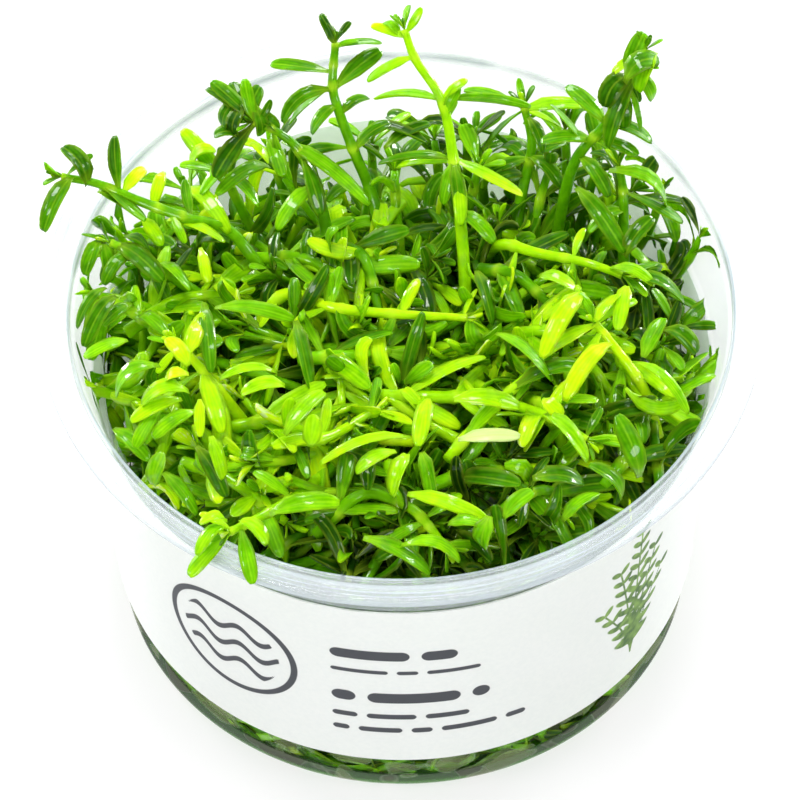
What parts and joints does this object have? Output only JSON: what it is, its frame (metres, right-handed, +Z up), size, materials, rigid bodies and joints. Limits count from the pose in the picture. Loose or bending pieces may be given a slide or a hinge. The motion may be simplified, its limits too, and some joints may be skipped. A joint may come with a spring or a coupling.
{
  "type": "rotala plants in a tub",
  "caption": "Young green rotala plants packed in an open round clear plastic tub with a rim flange and a white wrap label; loose stems rise above the rim.",
  "frame": {"origin": "centre of the tub's underside", "axes": "+Z up along the tub's axis; -Y towards the side the picture shows; +X to its right"},
  "size_m": [0.1, 0.1, 0.0851],
  "materials": {
    "clear_plastic": "clear, slightly milky polypropylene with a soft gloss",
    "label_film": "white printed film, satin",
    "tangle_green": "wet living leaves and stems, darker where they are packed",
    "leaf_green": "wet living leaf, glossy and slightly translucent"
  },
  "bodies": {
    "root": {"cup": "clear_plastic", "label": "label_film", "plant_tangle": "tangle_green", "stem_centre_tall": "leaf_green", "stem_centre_left": "leaf_green", "stem_curled_tip": "leaf_green", "stem_left_reach": "leaf_green", "stem_right_reach": "leaf_green", "stem_right_low": "leaf_green", "stem_back": "leaf_green", "stem_left_high": "leaf_green", "stem_left_low": "leaf_green", "stem_across": "leaf_green", "stem_right_across": "leaf_green", "stem_right_bright": "leaf_green", "stem_left_bright": "leaf_green", "stem_front_overhang": "leaf_green", "stem_front": "leaf_green", "stem_front_right": "leaf_green", "stem_mid_right": "leaf_green", "stem_mid_left": "leaf_green"}
  },
  "joints": []
}
